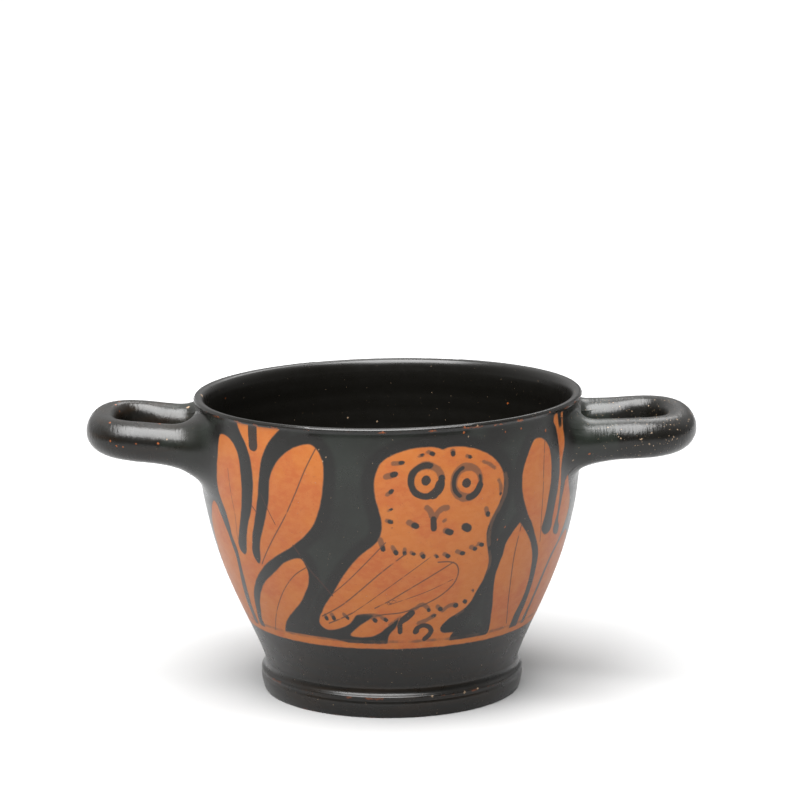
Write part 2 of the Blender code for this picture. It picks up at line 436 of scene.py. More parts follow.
class Skin:
    """Vertices, faces and UV corners of the cup, in millimetres."""

    def __init__(self):
        self.points = np.zeros((0, 3))
        self.painted = np.zeros(0, bool)
        self.faces = []
        self.corners = []

    def add(self, points, painted=False):
        """New vertices; painted ones lie on the outer wall, where the picture is."""
        first = len(self.points)
        self.points = np.vstack([self.points, points])
        self.painted = np.concatenate([self.painted, np.full(len(points), painted)])
        return np.arange(first, first + len(points))

    def face(self, ids, turns, across, chart):
        """One face with its corners' places on a chart."""
        self.faces.append([int(index) for index in ids])
        self.corners.extend(chart(turns, across))

    def stitch(self, first, second, chart):
        """Faces between two rings that run the same way round."""
        turns_a = np.append(first.turns, first.turns[0] + math.tau)
        turns_b = np.append(second.turns, second.turns[0] + math.tau)
        a = b = 0
        while a < len(first.ids) or b < len(second.ids):
            next_a = turns_a[a + 1] if a < len(first.ids) else math.inf
            next_b = turns_b[b + 1] if b < len(second.ids) else math.inf
            both = abs(next_a - next_b) < SAME_TURN
            step_a = both or next_a < next_b
            step_b = both or not step_a
            corners = [(first, turns_a, a), (second, turns_b, b)]
            if step_b:
                corners.insert(1, (second, turns_b, b + 1))
            if step_a:
                corners.insert(1, (first, turns_a, a + 1))
            ids = [ring.ids[index % len(ring.ids)] for ring, _, index in corners]
            turns = [known[index] for _, known, index in corners]
            self.face(ids, turns, [ring.across for ring, _, _ in corners], chart)
            a, b = a + step_a, b + step_b

    def stitch_run(self, rings, chart):
        """Faces between each ring of a run and the next."""
        for first, second in zip(rings, rings[1:]):
            self.stitch(first, second, chart)

    def cap(self, ring, height, facing_up, chart):
        """A fan of faces from a ring to a new vertex in its middle."""
        middle = self.add(np.array([[0.0, 0.0, height]]))[0]
        turns = np.append(ring.turns, ring.turns[0] + math.tau)
        count = len(ring.ids)
        for index in range(count):
            here, after = ring.ids[index], ring.ids[(index + 1) % count]
            if not facing_up:
                here, after = after, here
            start, end = (index, index + 1) if facing_up else (index + 1, index)
            corner_turns = (turns[start], turns[end], (turns[start] + turns[end]) / 2)
            self.face((here, after, middle), corner_turns, (ring.across, ring.across, 0), chart)


def crowded(turns):
    """Angles round the cup, closer together at the front."""
    return turns - CROWDING * np.sin(turns)


def even_turns(count):
    """Turns once round from the back."""
    return -math.pi + math.tau * np.arange(count) / count


# UV charts: places on a square map, as left, bottom, right and top in shares of its side
MAP_SIDE = 1024
FRONT_BOX = (6, 716, 1018, 1018)
BACK_BOX = (6, 424, 1018, 708)
INSIDE_BOX = (6, 268, 1018, 416)
BASE_BOX = (6, 206, 1018, 260)
FLOOR_BOX = (6, 6, 196, 196)
UNDER_BOX = (206, 6, 396, 196)
HANDLE_BOXES = [(406, 6, 1018, 96), (406, 106, 1018, 196)]

# Which shares of the inside's chart the lip and the inner wall take up
LIP_SHARES = (0.03, 0.25)
INNER_WALL_SHARES = (0.28, 1.0)


def placed(box, u, v):
    """A place inside a chart's box, from shares of its width and height."""
    left, bottom, right, top = (side / MAP_SIDE for side in box)
    return (left + (right - left) * u, bottom + (top - bottom) * v)


def wall_chart(turns, across):
    """The picture zone, cut into a front and a back strip."""
    middle = sum(turns) / len(turns)
    if abs(middle) <= math.pi / 2:
        return [placed(FRONT_BOX, turn / math.pi + 0.5, share) for turn, share in zip(turns, across)]
    wrap = math.tau if middle < 0 else 0.0
    return [
        placed(BACK_BOX, (turn + wrap) / math.pi - 0.5, share) for turn, share in zip(turns, across)
    ]


def band_chart(box):
    """A band that goes once round."""
    def chart(turns, across):
        return [placed(box, turn / math.tau + 0.5, share) for turn, share in zip(turns, across)]
    return chart


def disc_chart(box):
    """A flat disc, whose across runs from 0 in the middle to 1 at its edge."""
    def chart(turns, across):
        corners = []
        for turn, share in zip(turns, across):
            angle = crowded(turn)
            reach = share / 2
            corners.append(placed(box, 0.5 + reach * math.sin(angle), 0.5 - reach * math.cos(angle)))
        return corners
    return chart


def roll_chart(box):
    """A handle, whose across runs along it."""
    def chart(turns, across):
        return [placed(box, share, turn / math.tau + 0.5) for turn, share in zip(turns, across)]
    return chart


def turned_ring(skin, radius, height, columns, across, painted=False):
    """One ring of the wheel-turned body."""
    turns = even_turns(columns)
    points = turned_points(crowded(turns), np.full(columns, radius), np.full(columns, height))
    return Ring(skin.add(points, painted), turns, across)


def run_of_rings(skin, path, columns, chart, shares):
    """Rings along a stretch of the turned outline, stitched to each other."""
    rings = [
        turned_ring(skin, radius, height, columns, share)
        for (radius, height), share in zip(path, shares)
    ]
    skin.stitch_run(rings, chart)
    return rings


def underside(skin):
    """From the middle of the underside out to the resting ring; its last ring is returned."""
    path = spaced(spline(UNDER_POINTS), PLAIN_STEP)
    path[:, 1] = np.maximum(path[:, 1], 0)
    chart = disc_chart(UNDER_BOX)
    rings = run_of_rings(skin, path, PLAIN_COLUMNS, chart, path[:, 0] / path[-1, 0])
    skin.cap(rings[0], UNDER_HEIGHT, False, chart)
    return rings[-1]


def foot_and_neck(skin, below):
    """The foot's side and the plain wall up to the picture; its last ring is returned."""
    side = spaced(spline(FOOT_POINTS), FOOT_STEP)[1:]
    heights = np.arange(NECK_HEIGHT + PLAIN_STEP / 2, PICTURE_BOTTOM - PLAIN_STEP / 3, PLAIN_STEP / 2)
    path = np.vstack([side, np.stack([wall_radius(heights), heights], axis=1)])
    chart = band_chart(BASE_BOX)
    shares = np.linspace(0, 1, len(path) + 2)
    rings = run_of_rings(skin, path, PLAIN_COLUMNS, chart, shares[1:-1])
    skin.stitch(below._replace(across=0.0), rings[0], chart)
    return rings[-1]


# An opening in the picture zone: its rows, its columns, where the middle of the roll passes through it,
# and whether it is a handle's back one
Opening = namedtuple("Opening", "rings low high left right around height back")


def find_opening(rings, heights, handle, back):
    """The rows and columns of the picture zone that one root of a handle takes up."""
    arm = handle_arms(handle)[1 if back else 0]
    crossing = np.abs(wall_gap(arm.line)).argmin()
    x, y, z = arm.line[crossing]
    around = math.atan2(x, -y)
    half_angle = JOIN_HALF_WIDTH / math.hypot(x, y)
    columns = np.nonzero(np.abs(crowded(even_turns(PICTURE_COLUMNS)) - around) < half_angle)[0]
    rows = np.nonzero(heights > z - JOIN_BELOW)[0]
    return Opening(rings, rows[0], rows[-1], columns[0], columns[-1], around, z, back)


def picture_zone(skin, below):
    """The painted wall, left open where the handles join; its last ring and the openings."""
    count = round((PICTURE_TOP - PICTURE_BOTTOM) / PICTURE_STEP)
    heights = np.linspace(PICTURE_BOTTOM, PICTURE_TOP, count + 1)
    shares = np.linspace(0, 1, count + 1)
    rings = [
        turned_ring(skin, wall_radius(height), height, PICTURE_COLUMNS, share, painted=True)
        for height, share in zip(heights, shares)
    ]
    skin.stitch(below, rings[0]._replace(across=1.0), band_chart(BASE_BOX))
    openings = [find_opening(rings, heights, handle, back) for handle in HANDLES for back in (False, True)]
    open_cells = np.zeros((count, PICTURE_COLUMNS), bool)
    for opening in openings:
        open_cells[opening.low:opening.high, opening.left:opening.right] = True
    turns = np.append(rings[0].turns, math.pi)
    for lower, upper, is_open in zip(rings, rings[1:], open_cells):
        across = (lower.across, lower.across, upper.across, upper.across)
        for column in np.nonzero(~is_open)[0]:
            after = (column + 1) % PICTURE_COLUMNS
            ids = (lower.ids[column], lower.ids[after], upper.ids[after], upper.ids[column])
            left, right = turns[column], turns[column + 1]
            skin.face(ids, (left, right, right, left), across, wall_chart)
    return rings[-1], openings


def opening_ring(skin, opening):
    """The vertices round an opening in the wall, in order round the roll."""
    low, high, left, right = opening.low, opening.high, opening.left, opening.right
    border = [(low, column) for column in range(left, right)]
    border += [(row, right) for row in range(low, high)]
    border += [(high, column) for column in range(right, left, -1)]
    border += [(row, left) for row in range(high, low, -1)]
    ids = np.array([opening.rings[row].ids[column] for row, column in border])
    x, y, z = skin.points[ids].T
    radius = np.hypot(x, y).mean()
    angles = np.arctan2(z - opening.height, (np.arctan2(x, -y) - opening.around) * radius)
    if opening.back:
        angles = (math.tau - angles) % math.tau - math.pi
    order = np.argsort(angles)
    return ids[order], angles[order]


def roll_ring(centre, travel, radius, turns, inner, flatness):
    """Points round the roll; turn 0 points sideways and a quarter turn points up.

    inner is -1 or 1, for the side that faces the loop's opening, where flatness is missing.
    """
    side = np.cross([0, 0, 1], travel)
    side /= np.linalg.norm(side)
    up = np.cross(travel, side)
    across = np.cos(turns)
    roundness = max(INNER_ROUNDNESS, 1 - flatness / ARM_FLATNESS * (1 - INNER_ROUNDNESS))
    flatter = np.sign(across) * (1 - flatness) * np.abs(across) ** roundness
    across = np.where(across * inner > 0, flatter, across)
    return centre + radius * (across[:, None] * side + np.sin(turns)[:, None] * up)


def ring_between(border_points, border_turns, end_points, end_turns, count, share):
    """A ring of evenly turned points between an opening's border and the roll's end."""
    turns = even_turns(count)

    def sample(points, known):
        wrapped = np.concatenate([known - math.tau, known, known + math.tau])
        tripled = np.vstack([points, points, points])
        return np.stack([np.interp(turns, wrapped, column) for column in tripled.T], axis=1)

    near = sample(border_points, border_turns)
    far = sample(end_points, end_turns)
    return turns, near + (far - near) * share


def join_rings(skin, arms, border, end_points, end_turns):
    """The rings of the fillet from an opening's border out to the roll, border first."""
    ids, turns = border
    rings = [Ring(ids, turns, 0.0)]
    for step in range(1, JOIN_RINGS):
        share = step / JOIN_RINGS
        count = round(len(ids) + (TUBE_SIDES - len(ids)) * min(1, share * JOIN_COUNT_LEAD))
        ring_turns, points = ring_between(skin.points[ids], turns, end_points, end_turns, count, share)
        points = settle(points, arms)
        rings.append(Ring(skin.add(points, painted=True), ring_turns, share))
    return rings


def add_handle(skin, handle, openings, chart):
    """The handle's skin from the front opening round the loop to the back one."""
    line, radii = handle_line(handle)
    arms = handle_arms(handle)
    reach = np.abs(line[:, 0])
    away = reach - wall_radius(HEIGHT - handle.drop) - ROLL_START
    bend_start = handle.reach - handle.bend_length
    bend_share = smooth_step(bend_start - INNER_FADE, bend_start + INNER_FADE, reach)
    flatness = ARM_FLATNESS * smooth_step(0, INNER_FADE, away)
    flatness = flatness + (BEND_FLATNESS - ARM_FLATNESS) * bend_share
    travels = np.gradient(line, axis=0)
    travels /= np.linalg.norm(travels, axis=1, keepdims=True)
    turns = even_turns(TUBE_SIDES)
    tube = [
        roll_ring(line[index], travels[index], radii[index], turns, handle.side, flatness[index])
        for index in np.nonzero(away >= 0)[0]
    ]
    front, back = openings
    rings = join_rings(skin, arms, opening_ring(skin, front), tube[0], turns)
    rings += [Ring(skin.add(points), turns, 0.0) for points in tube]
    rings += reversed(join_rings(skin, arms, opening_ring(skin, back), tube[-1], turns))
    middles = [skin.points[ring.ids].mean(axis=0) for ring in rings]
    steps = np.linalg.norm(np.diff(middles, axis=0), axis=1)
    lengths = np.concatenate([[0], np.cumsum(np.maximum(steps, TUBE_STEP))])
    rings = [ring._replace(across=length / lengths[-1]) for ring, length in zip(rings, lengths)]
    skin.stitch_run(rings, chart)


def raise_wall(skin, handle):
    """Raise the wall and the lip's underside round a handle's roots, where the fillets cover them."""
    arms = handle_arms(handle)
    x, y, z = skin.points.T
    outside = (x * handle.side > RAISED_BEYOND) & (np.hypot(x, y) > RAISED_OUTSIDE)
    near = np.nonzero(outside & (z > RAISED_ABOVE))[0]
    covered = near[body_gap(skin.points[near], arms) < -COVERED_DEPTH]
    raised = covered[wall_gap(skin.points[covered]) > -SHELL_DEPTH]
    skin.points[raised] = settle(skin.points[raised], arms)


def lip_and_inside(skin, below):
    """The lip, the inside of the wall and the floor."""
    lip = np.array([(MOUTH_RADIUS - inset, RIM_MIDDLE + rise) for inset, rise in LIP_POINTS])
    lip = spaced(spline(lip), LIP_STEP)
    chart = band_chart(INSIDE_BOX)
    lip_rings = run_of_rings(skin, lip, LIP_COLUMNS, chart, np.linspace(*LIP_SHARES, len(lip)))
    skin.stitch(below._replace(across=0.0), lip_rings[0], chart)
    heights = np.arange(lip[-1, 1] - PLAIN_STEP, FLOOR_JOIN_HEIGHT + PLAIN_STEP / 2, -PLAIN_STEP)
    ripple = THROWING_DEPTH * np.sin(heights * math.tau / THROWING_PITCH)
    wall = np.stack([wall_radius(heights) - WALL_THICKNESS + ripple, heights], axis=1)
    shares = np.linspace(*INNER_WALL_SHARES, len(wall))
    wall_rings = run_of_rings(skin, wall, PLAIN_COLUMNS, chart, shares)
    skin.stitch(lip_rings[-1], wall_rings[0], chart)
    floor = spaced(inner_floor(), PLAIN_STEP)
    disc = disc_chart(FLOOR_BOX)
    shares = floor[:, 0] / (floor[0, 0] + PLAIN_STEP)
    floor_rings = run_of_rings(skin, floor, PLAIN_COLUMNS, disc, shares)
    skin.stitch(wall_rings[-1]._replace(across=1.0), floor_rings[0], disc)
    skin.cap(floor_rings[-1], FLOOR_HEIGHT, True, disc)


def build_skin():
    """The whole cup."""
    skin = Skin()
    base = foot_and_neck(skin, underside(skin))
    top, openings = picture_zone(skin, base)
    lip_and_inside(skin, top)
    for index, handle in enumerate(HANDLES):
        raise_wall(skin, handle)
        add_handle(skin, handle, openings[2 * index:2 * index + 2], roll_chart(HANDLE_BOXES[index]))
    return skin


def add_object(name, data):
    """A new object in the scene."""
    made = bpy.data.objects.new(name, data)
    bpy.context.scene.collection.objects.link(made)
    return made


def skin_object(skin, name):
    """The skin as a Blender object, without the vertices that no face uses."""
    used = np.zeros(len(skin.points), bool)
    for face in skin.faces:
        used[face] = True
    renumbered = np.cumsum(used) - 1
    mesh = bpy.data.meshes.new(name)
    faces = [[int(renumbered[index]) for index in face] for face in skin.faces]
    mesh.from_pydata((skin.points[used] * MM).tolist(), [], faces)
    layer = mesh.uv_layers.new(name="OFBake")
    layer.data.foreach_set("uv", np.array(skin.corners, np.float32).ravel())
    mesh.shade_smooth()
    return add_object(name, mesh), skin.points[used], skin.painted[used]


# The picture. Outlines and brush strokes are points in wall coordinates, as (around, height); an
# outline's point that is given twice is a corner. The wall is black gloss except for these areas,
# which keep the colour of the clay.
LEFT_SPRIG = [
    (-49.4, 58.6), (-49.2, 61.2), (-48.5, 64.5), (-47.8, 68), (-47.4, 71.3), (-46.8, 73.7), (-45.6, 74.5),
    (-43, 74.1), (-41, 72.8), (-39.5, 70.8), (-38.8, 68), (-38.6, 64.5), (-38.9, 59.5), (-40, 54.8),
    (-41.2, 51.5), (-42.7, 48), (-43.8, 45.4), (-43.6, 43.6), (-42.4, 42.6), (-41.2, 43.3), (-40.4, 45.6),
    (-39.5, 48.3), (-38, 52.1), (-36.4, 55.4), (-35.4, 59), (-34.8, 62.5), (-34.8, 66.5), (-35.3, 70),
    (-36.7, 73.4), (-38.2, 75.6), (-40, 78.8), (-40, 78.8), (-27, 78.8), (-27, 77.5), (-27, 77.5),
    (-29.4, 74.5), (-31, 71.4), (-32, 67.9), (-32.7, 64), (-33.5, 59.5), (-34.5, 55.8), (-35.6, 52.6),
    (-37.2, 48.4), (-38.2, 45), (-38.3, 42.8), (-37.2, 41), (-36.3, 41.7), (-35.6, 44.3), (-35, 47),
    (-33.5, 50.3), (-31.8, 54.3), (-30.3, 59.2), (-29.7, 64), (-28.5, 67.8), (-26.3, 71), (-23.2, 73.7),
    (-20.2, 75), (-18.2, 75.1), (-16.8, 74), (-15.6, 71.6), (-15.2, 69), (-15.4, 65), (-16.2, 60),
    (-17.8, 55.2), (-20, 51.8), (-24.5, 47.7), (-31, 43.6), (-35, 40.6), (-38.7, 37.2), (-41.6, 34.1),
    (-43.9, 31), (-45.4, 28.1), (-46.7, 25.3), (-47.9, 23), (-48, 20.5), (-48, 20.5), (-50.2, 20.5),
    (-50.2, 20.5), (-49.4, 23.2), (-48.5, 27.5), (-46.9, 32.6), (-46, 37), (-45.4, 41), (-45.4, 43.6),
    (-46.4, 46.5), (-46.5, 49.5), (-47.2, 52.9), (-48.4, 55.8),
]
LEFT_OUTER_LEAF = [
    (-53.2, 55.2), (-53.2, 55.2), (-51.6, 54.2), (-50.4, 52), (-49.2, 49.6), (-48, 46.5), (-47.3, 43.4),
    (-46.9, 41), (-47.6, 37), (-48.8, 33.4), (-50.2, 29.7), (-51.3, 25.8), (-51.9, 22.5), (-51.8, 20.5),
    (-51.8, 20.5), (-63, 20.5), (-63, 20.5), (-64, 27), (-63.5, 34), (-61.2, 41.5), (-59.5, 47.5),
    (-57.2, 51.2), (-55.2, 53.8),
]
LEFT_LOWER_LEAF = [
    (-23, 44.6), (-21.7, 42.8), (-21.2, 40.6), (-21.6, 38), (-23.1, 35), (-25.3, 32), (-28, 29.4),
    (-31, 27), (-33.3, 24.7), (-34.8, 22.5), (-35, 20.5), (-35, 20.5), (-45.4, 20.5), (-45.4, 20.5),
    (-45.5, 23.4), (-44.2, 25.8), (-42.9, 28.3), (-40.9, 31.2), (-38.7, 33.9), (-35.8, 36.6),
    (-32.3, 39.2), (-29, 42), (-26.2, 43.7),
]
RIGHT_SPRIG = [
    (38, 73.2), (40.3, 72.8), (42.3, 71), (43.5, 68.8), (44.1, 65), (44.2, 61), (43.8, 57.5), (43.3, 53.6),
    (42.7, 50.7), (42.3, 49.1), (42.9, 47.9), (44.2, 47), (45.7, 47.1), (46.8, 48.2), (46.7, 51.5),
    (47.2, 55), (47.8, 59.5), (48, 63.2), (47.6, 67.4), (46.9, 71.2), (45.9, 74.5), (44.9, 76.1),
    (45.4, 78), (45.4, 78), (47, 78), (47.2, 76.4), (47.5, 74.6), (48, 73.8), (48.5, 74.8), (48.5, 78),
    (48.5, 78), (49.9, 78), (49.9, 78), (49.5, 74.6), (50, 71.4), (49.8, 68.9), (49.2, 66.2), (49, 63.6),
    (49.2, 60), (49.2, 56), (49.2, 52.6), (48.7, 49.6), (48.3, 47.2), (49.8, 45.8), (51.5, 45.7),
    (51.4, 47.6), (50.3, 49.1), (50.1, 51.8), (50.6, 55.2), (51.4, 58.8), (52.1, 61.3), (53.3, 60.1),
    (55, 57.2), (56.6, 54.1), (57.1, 51.5), (56.6, 49.2), (55.4, 46.6), (53.7, 43.6), (51.5, 40.9),
    (49.9, 38), (48.8, 34.2), (48.2, 30.5), (47.8, 26.5), (47.3, 23.5), (47.4, 20.5), (47.4, 20.5),
    (44.9, 20.5), (44.9, 20.5), (44.5, 24), (44.7, 27), (44.6, 30.7), (44.3, 34.5), (43.7, 38.5),
    (43, 42), (41.5, 44.9), (39.8, 47.8), (37.9, 51.2), (36.2, 53.6), (34.6, 57), (33.6, 60.2),
    (33.3, 63.3), (33.8, 66.5), (35.3, 70), (36.6, 72.2),
]
RIGHT_LOWER_LEAF = [
    (33.7, 52.3), (33.7, 52.3), (35.2, 50.5), (37.3, 48), (39.2, 45), (40.6, 42), (41.5, 38.5),
    (42, 35), (42.3, 31.2), (41.7, 27.8), (41, 24.9), (41, 20.5), (41, 20.5), (30.8, 20.5), (30.8, 20.5),
    (31.2, 22.8), (30.4, 26.5), (29.6, 30.2), (28.7, 34), (28.2, 38), (28.6, 41.3), (29.4, 44.5),
    (29.8, 47.2), (31.6, 50),
]
RIGHT_OUTER_LEAF = [
    (49.3, 20.5), (49.3, 20.5), (49, 24), (49.2, 28), (49.6, 31.5), (50.2, 35), (51.3, 38.6),
    (53.2, 41.4), (55.4, 43.6), (58, 45), (60.3, 44.4), (62.6, 41.8), (64.8, 37.8), (66.6, 33),
    (67, 28), (66.2, 24), (65.5, 20.5), (65.5, 20.5),
]
OWL = [
    (-3.7, 65.4), (-3.3, 68), (-2.4, 70.3), (-0.8, 72.1), (1.4, 73.3), (4, 74.2), (7, 74.6), (9.7, 74.6),
    (11.2, 74.2), (12.2, 73.8), (13.3, 74.1), (15.5, 74.2), (18.2, 73.8), (21, 72.8), (24, 71.1),
    (26.2, 69), (27.5, 66.5), (28, 63.8), (27.6, 60.3), (26.3, 57), (24.8, 54.2), (24, 51.8),
    (24, 49.4), (24.6, 46.7), (25.4, 43.5), (25.4, 40.8), (24.7, 38), (23.4, 35.2), (22.4, 32.6),
    (21, 30.7), (19.2, 29.4), (17.1, 28.3), (15.2, 26.7), (14.3, 25.1), (15.2, 24), (17, 23.8),
    (18.9, 23.8), (18.9, 23.8), (17.9, 22.5), (17.8, 20.5), (17.8, 20.5), (-1.2, 20.5), (-1.2, 20.5),
    (-1, 22.7), (-0.5, 24.2), (0.8, 25.6), (1.6, 26.8), (2.1, 28.8), (2.1, 28.8), (0.6, 27.5),
    (-1.3, 26), (-3.2, 24.4), (-5.8, 23.3), (-9, 23), (-11.7, 23.3), (-12, 23.9), (-9.9, 25.8),
    (-7.4, 27.6), (-5.6, 28.8), (-4.6, 29.8), (-6.8, 30), (-9.4, 29.5), (-10.4, 28.2), (-12, 26.7),
    (-14.4, 25.5), (-17.2, 24.7), (-19.4, 24.8), (-20.9, 26.2), (-20.4, 28.3), (-19.2, 30.2),
    (-17.6, 32.7), (-15.6, 35.1), (-13.8, 37.9), (-12, 40.7), (-10.2, 43.2), (-8.1, 45.7), (-6, 47.8),
    (-4.2, 49.3), (-2.8, 51), (-2.1, 53.4), (-2.1, 55.8), (-2.7, 58.8), (-3.4, 61.8),
]
# The stripe that the picture stands on is a little wider here
GROUND_RISE = [
    (-44, 20.5), (-44, 20.5), (-44, 21.6), (-36, 22), (-28, 22.3), (-20, 22.2), (-16, 21.9), (-13, 21.3),
    (-12, 20.5), (-12, 20.5),
]
CLAY_AREAS = [
    LEFT_SPRIG, LEFT_OUTER_LEAF, LEFT_LOWER_LEAF, RIGHT_SPRIG, RIGHT_LOWER_LEAF, RIGHT_OUTER_LEAF, OWL,
    GROUND_RISE,
]
GROUND_BOTTOM = 19.65
GROUND_TOP = 21.35

# Black strokes over the clay: points and width
OWL_STROKES = [
    ([(10.1, 56), (10.15, 54.6), (10.2, 53.4)], 1.5),
    ([(2.4, 27.4), (2.5, 26), (2.6, 24.8)], 1.45),
    ([(3.2, 28.3), (4.4, 29.2), (5.6, 30.3)], 1.9),
    ([(6.9, 24.7), (7.4, 25.8), (9.2, 26.5), (11, 25.8), (11.8, 24.4)], 1.3),
    ([(11.7, 24.6), (10.9, 23.3), (9.9, 22.4)], 1.5),
    ([(7, 24.7), (7.3, 24.9)], 1.6),
    ([(11.2, 29.1), (12.3, 29.2)], 0.7),
    ([(11.6, 65), (11.2, 63.6), (9.9, 62.3)], 2.3),
]
SPRIG_STROKES = [
    ([(-34.3, 79), (-34.3, 75.8), (-34.1, 73.1)], 2.8),
]

# Thinned gloss that fired brown: points and width
OWL_WASHES = [
    ([(8.5, 59), (9.2, 58.3), (9.8, 56.8)], 1.6),
    ([(13.3, 58.7), (12.1, 58.5), (11.1, 57.6), (10.4, 56.4)], 1.6),
    ([(12.5, 55.2), (13, 55.6)], 0.8),
    ([(22.2, 69.6), (23.8, 68.8), (25.3, 67.6)], 1.1),
    ([(26.4, 64.5), (26.9, 63.2), (27.1, 61.9)], 1.1),
    ([(7.4, 32.4), (8.8, 32.5), (9.9, 31.6)], 1.3),
    ([(5.5, 31), (7.4, 32.2)], 1.2),
    ([(14.2, 30.3), (15.6, 31.6), (17, 31.9)], 1.3),
    ([(7.6, 27.2), (9.8, 28), (11.8, 29.2)], 1.3),
    ([(2.6, 29.3), (0.6, 27.9), (-0.6, 26.8)], 0.7),
    ([(-2.9, 29.7), (-5.5, 29.9), (-8.6, 29.6)], 0.8),
    ([(28.2, 65.6), (28.7, 62.8), (28, 59.6), (26.7, 57), (25.2, 54.2), (24.6, 51), (24.8, 47.6)], 1.2),
    ([(25.2, 46), (25.9, 42.6), (25.3, 39.5)], 0.7),
    ([(-2.4, 51), (-2.1, 49.9)], 1.4),
    ([(18.4, 28.6), (20.4, 29.8)], 0.8),
]
GROUND_WASH = [([(-68, 22), (-20, 21.9), (20, 21.9), (68, 22)], 0.75)]

# Dots of the owl's plumage: around, height, size, and where the brown tail of the dab ends
OWL_DOTS = [
    (2.7, 70.9, 1.1, 0.8, 70.7), (1, 67.9, 1.4, -0.9, 67.4), (0.3, 63.6, 1.2, -0.6, 62.8),
    (0.2, 58.9, 0.9, -0.5, 58.6), (0.1, 55.7, 1.1, -0.7, 56), (0.5, 54, 0.4, 0.3, 54),
    (7.4, 72.6, 0.9, 6.6, 72.4), (9.7, 72.8, 1.1, 8.8, 73.3), (14.6, 72.4, 1.2, 14.5, 73.1),
    (18.8, 71.2, 1.0, 18, 71.6), (27, 60.7, 0.7, 27, 61.9), (23.8, 55.9, 1.2, 23.2, 57.4),
    (5.8, 54.5, 1.5, 4.4, 55.4), (14, 52.3, 1.7, 13.3, 52.6), (18.4, 53, 2.1, 18, 53.3),
    (-1.8, 48.5, 1.3, -2.3, 50.5), (1.3, 47.4, 1.1, 0.5, 49), (3.4, 47.2, 0.9, 3.3, 48.3),
    (5.6, 46.9, 0.9, 5, 47.3), (7.9, 46.1, 1.0, 7.5, 46.9), (11.3, 45.9, 0.9, 10.9, 46.3),
    (14, 45.8, 1.1, 13.1, 46.4), (17.8, 46.2, 1.1, 16.3, 46.8), (21, 47, 1.1, 19.9, 47.6),
    (22.7, 47.9, 1.1, 21.9, 48.3), (-18.3, 28.1, 1.0, -18.6, 28.9), (-16.1, 28.3, 1.1, -16.5, 29.4),
    (-12.1, 28.7, 1.0, -13.1, 29.7), (-4.4, 28.3, 1.1, -5, 28.9), (-1.4, 28.4, 1.1, -2.3, 29),
    (10.2, 30.9, 1.0, 9.8, 31.6), (13.5, 30.9, 1.2, 12.6, 31.7), (17.8, 31.6, 1.3, 17.1, 31.9),
    (20.3, 32.4, 1.2, 20, 32.6), (22.2, 35.2, 0.7, 22, 35.5),
]

# Eyes: middle and radii of the ring's outer and inner edge, middle and radius of the pupil, and arcs
# of thick gloss on the ring, as the angles where they start and end and their width
Eye = namedtuple("Eye", "outer outer_radii inner inner_radii pupil pupil_radius arcs")
OWL_EYES = [
    Eye((8.3, 66.05), (4.45, 4.9), (8.35, 65.8), (2.75, 3.05), (8.3, 66.1), 1.15, [(75, 372, 1.55)]),
    Eye((18, 64.8), (4.2, 5.1), (18.3, 64.9), (2.5, 2.85), (17.9, 64.6), 1.15,
        [(112, 238, 1.1), (-82, -14, 1.8), (-14, 22, 0.7)]),
]

# Hair-fine lines: points and width
FEATHER_LINES = [
    ([(-19.2, 28.8), (-15.4, 30.9), (-12, 33.2), (-7.8, 36.8), (-2, 42.2), (3.4, 46.8)], 0.30),
    ([(-15.7, 35.1), (-11, 39.2), (-6, 44.5), (-1.4, 49.8)], 0.24),
    ([(-10.9, 29.9), (-6, 33.4), (-1.3, 37.1), (9.4, 45.6)], 0.20),
    ([(-3.9, 32), (0.1, 34.2), (4.4, 37), (15.3, 43.8)], 0.30),
    ([(-0.3, 32.9), (5, 34.7), (9.9, 36.5), (15.5, 39)], 0.18),
]
LEAF_LINES = [
    ([(-17.1, 74.1), (-19.8, 68.5), (-22.6, 61.9), (-25.8, 55.6), (-29.4, 50.1), (-35.6, 41.4)], 0.30),
    ([(-21.6, 42.2), (-25.3, 39.7), (-29, 36), (-32.7, 31.5), (-36.5, 26.5), (-39.6, 21.9)], 0.26),
    ([(-43.6, 65.2), (-43.3, 58.5), (-42.9, 53.1), (-43.8, 46.8)], 0.18),
    ([(41.2, 71.8), (40.9, 66), (41.1, 59), (41.5, 52), (42.6, 45.7)], 0.26),
    ([(34.2, 51), (33.5, 46), (33.5, 41), (34.4, 35), (36, 29), (38.4, 23.4)], 0.30),
]
CONTOUR_LINES = [
    ([(-17.6, 26.8), (-14.4, 28.2), (-10.9, 30)], 0.34),
    ([(-4.8, 29.4), (-1.7, 30), (2.8, 30.5), (6.4, 31.6), (10.2, 33.2), (13.4, 35.1), (16.2, 37.8),
      (17.2, 40.8), (16.5, 43.2), (14.5, 44.2), (12, 44.3)], 0.34),
]

# A crack in the wall, on the front only: points and width
CRACKS = [
    ([(-35.7, 56.9), (-34.6, 55.6)], 0.3),
    ([(-32.3, 60.4), (-31.1, 57.6), (-29.1, 53.4)], 0.2),
    ([(-24.3, 47.7), (-22.3, 44.5), (-20.5, 41.4), (-18.3, 38.7), (-15.6, 35.1)], 0.34),
]

# Distances to an edge are recorded up to this one
FAR = 4.0

# A hair-fine line is recorded this far from its middle, along a path whose points are this far apart.
# It ends softly between two shares of nearness, and its sides do between two distances in half widths.
LINE_REACH = 1.4
LINE_GRAIN = 0.1
LINE_FADE = (0.55, 0.66)
LINE_EDGE = (1.7, 0.6)

# The brush: cuts between an outline's points, a pupil's height in shares of its width, degrees between
# an arc's points, and a dab's half length and its tail's width in shares of its size
DRAWN_CUTS = 4
PUPIL_HEIGHT = 1.1
ARC_STEP = 6
DAB_HALF_LENGTH = 0.2
TAIL_WIDTH = 1.1


